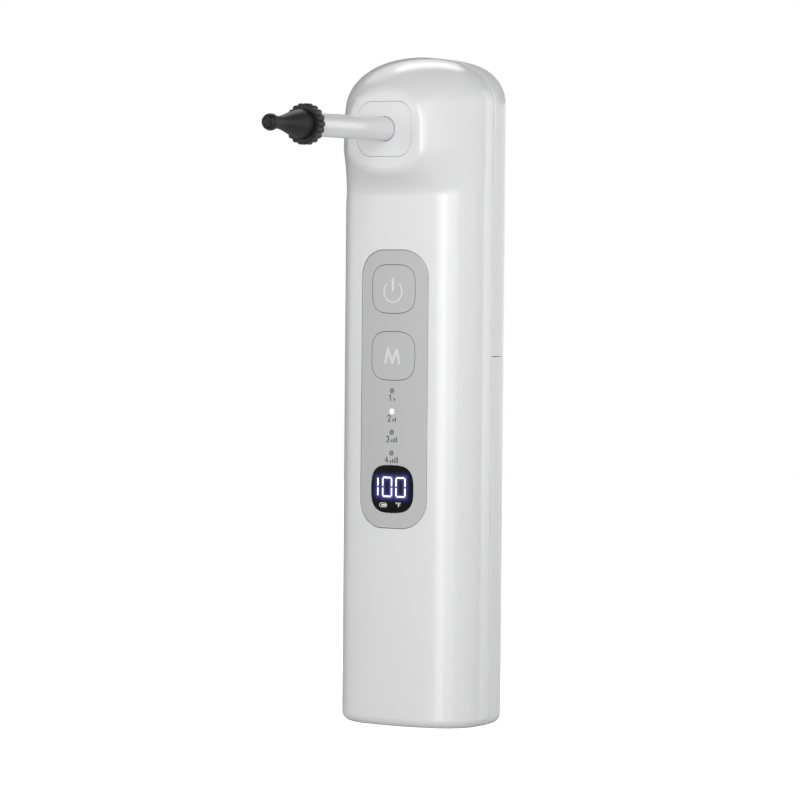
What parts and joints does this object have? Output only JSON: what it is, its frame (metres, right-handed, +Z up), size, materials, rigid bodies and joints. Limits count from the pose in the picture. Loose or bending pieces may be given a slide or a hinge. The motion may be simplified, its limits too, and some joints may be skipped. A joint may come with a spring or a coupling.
{
  "type": "ear irrigator",
  "caption": "Cordless handheld ear irrigator with a rounded upright housing, removable rear water tank, button panel with display, and a slim front nozzle with a soft tip.",
  "frame": {"origin": "middle of the flat base, on the plane where the front shell meets the tank", "axes": "+Z up along the housing, -Y out of the front along the nozzle, +X to the right of someone facing the front"},
  "size_m": [0.049, 0.1114, 0.21],
  "materials": {
    "shell_white": "satin moulded plastic",
    "panel_grey": "fine matte",
    "button_grey": "fine matte",
    "lens_black": "polished smoked window",
    "light_guide": "diffusing",
    "tip_rubber": "soft matte",
    "collar_black": "moulded",
    "seal_rubber": "soft",
    "silicone_clear": "translucent silicone",
    "frame_plastic": "moulded",
    "dark_plastic": "moulded",
    "steel": "plain",
    "board_green": "solder mask",
    "cell_wrap": "shrink film",
    "contact_brass": "plated",
    "wire_red": "insulation"
  },
  "bodies": {
    "root": {"front_shell": "shell_white", "rear_cover": "shell_white", "inner_frame": "frame_plastic", "frame_screws": "steel", "cover_screws": "steel", "control_panel": "panel_grey", "switch_housings": "dark_plastic", "light_guides": "light_guide", "indicator_leds": "contact_brass", "display_lens": "lens_black", "display_module": "dark_plastic", "main_board": "board_green", "board_screws": "steel", "battery_cell": "cell_wrap", "battery_cradle": "dark_plastic", "battery_contacts": "contact_brass", "battery_leads": "wire_red", "charge_board": "board_green", "charge_board_screws": "steel", "usb_socket": "steel", "nozzle_seat": "shell_white", "nozzle_socket": "frame_plastic", "dock_spigot": "frame_plastic", "dock_o_ring": "seal_rubber", "pump_housing": "dark_plastic", "pump_cover": "dark_plastic", "pump_screws": "steel", "motor_can": "steel", "motor_end_cap": "frame_plastic", "motor_leads": "wire_red", "suction_tube": "silicone_clear", "heater_inlet_tube": "silicone_clear", "heater_tube": "steel", "temperature_probe": "contact_brass", "delivery_tube": "silicone_clear"},
    "power_button": {"power_button": "button_grey", "power_switch_plunger": "dark_plastic"},
    "mode_button": {"mode_button": "button_grey", "mode_switch_plunger": "dark_plastic"},
    "nozzle": {"nozzle_arm": "shell_white", "nozzle_o_rings": "seal_rubber"},
    "ear_tip": {"ear_tip": "tip_rubber"},
    "tip_collar": {"tip_collar": "collar_black"},
    "tank": {"water_tank": "shell_white", "tank_outlet_valve": "silicone_clear", "lid_pin": "steel"},
    "tank_lid": {"tank_lid": "shell_white", "lid_seal": "silicone_clear"},
    "port_cover": {"port_cover": "panel_grey"},
    "drive_gear": {"drive_gear": "steel"},
    "idler_gear": {"idler_gear": "steel"}
  },
  "joints": [
    {"name": "power_button_press", "type": "slide", "parent": "root", "child": "power_button", "axis": [0, 1, 0], "range_m": [0, 0.0006], "stiffness_N_per_m": 700, "springref_m": -0.001},
    {"name": "mode_button_press", "type": "slide", "parent": "root", "child": "mode_button", "axis": [0, 1, 0], "range_m": [0, 0.0006], "stiffness_N_per_m": 700, "springref_m": -0.001},
    {"name": "nozzle_pull", "type": "slide", "parent": "root", "child": "nozzle", "axis": [0, -1, 0], "range_m": [0, 0.02]},
    {"name": "tip_slide", "type": "slide", "parent": "nozzle", "child": "ear_tip", "axis": [0, -1, 0], "range_m": [0, 0.006]},
    {"name": "collar_turn", "type": "hinge", "parent": "ear_tip", "child": "tip_collar", "pos_m": [0, -0.0688, 0.1869], "axis": [0, -1, 0], "range_deg": [0, 720]},
    {"name": "tank_slide", "type": "slide", "parent": "root", "child": "tank", "axis": [0, 1, 0], "range_m": [0, 0.03]},
    {"name": "lid_hinge", "type": "hinge", "parent": "tank", "child": "tank_lid", "pos_m": [0, 0.01835, 0.1072], "axis": [1, 0, 0], "range_deg": [0, 110]},
    {"name": "port_cover_hinge", "type": "hinge", "parent": "root", "child": "port_cover", "pos_m": [-0.0235, -0.0052, 0.0172], "axis": [0, -1, 0], "range_deg": [0, 100]},
    {"name": "drive_gear_spin", "type": "hinge", "parent": "root", "child": "drive_gear", "pos_m": [0, 0.0088, 0.134], "axis": [0, 0, 1], "continuous": true},
    {"name": "idler_gear_spin", "type": "hinge", "parent": "root", "child": "idler_gear", "pos_m": [0, -0.0008, 0.134], "axis": [0, 0, 1], "continuous": true}
  ],
  "couplings": [
    {"joint": "collar_turn", "follows": "tip_slide", "rad_per_m": 2094.4},
    {"joint": "idler_gear_spin", "follows": "drive_gear_spin", "ratio": -1}
  ]
}
